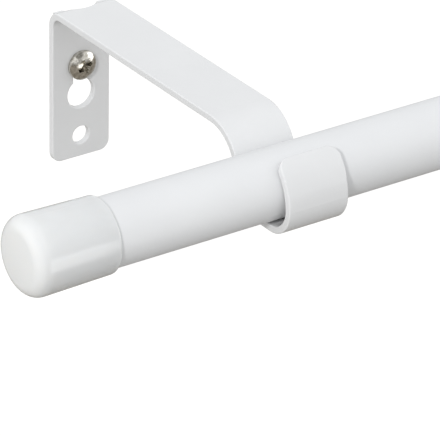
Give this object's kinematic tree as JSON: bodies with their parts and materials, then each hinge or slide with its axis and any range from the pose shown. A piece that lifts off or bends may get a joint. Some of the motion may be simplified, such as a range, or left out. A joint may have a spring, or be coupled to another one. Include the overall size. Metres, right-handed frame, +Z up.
{
  "type": "extendable curtain rod",
  "caption": "Extendable curtain rod: a thin tube slides inside a wider one, capped ends, resting in folded steel wall brackets.",
  "frame": {"origin": "on the wall, on the centre line of the left bracket's plate, halfway between its keyhole and its lower hole", "axes": "+X along the rod from the fixed end to the sliding end, +Y to the wall, +Z up"},
  "size_m": [0.7112, 0.1281, 0.0473],
  "materials": {
    "coated_tube": "satin",
    "coated_bracket": "satin",
    "cap_plastic": "gloss",
    "screw_metal": "nickel plated"
  },
  "bodies": {
    "fixed_side": {"left_bracket": "coated_bracket", "left_screw": "screw_metal", "outer_tube": "coated_tube", "left_end_cap": "cap_plastic"},
    "sliding_side": {"inner_tube": "coated_tube", "right_end_cap": "cap_plastic", "right_bracket": "coated_bracket", "right_screw": "screw_metal"}
  },
  "joints": [
    {"name": "extend", "type": "slide", "parent": "fixed_side", "child": "sliding_side", "axis": [1, 0, 0], "range_m": [0, 0.508]}
  ]
}
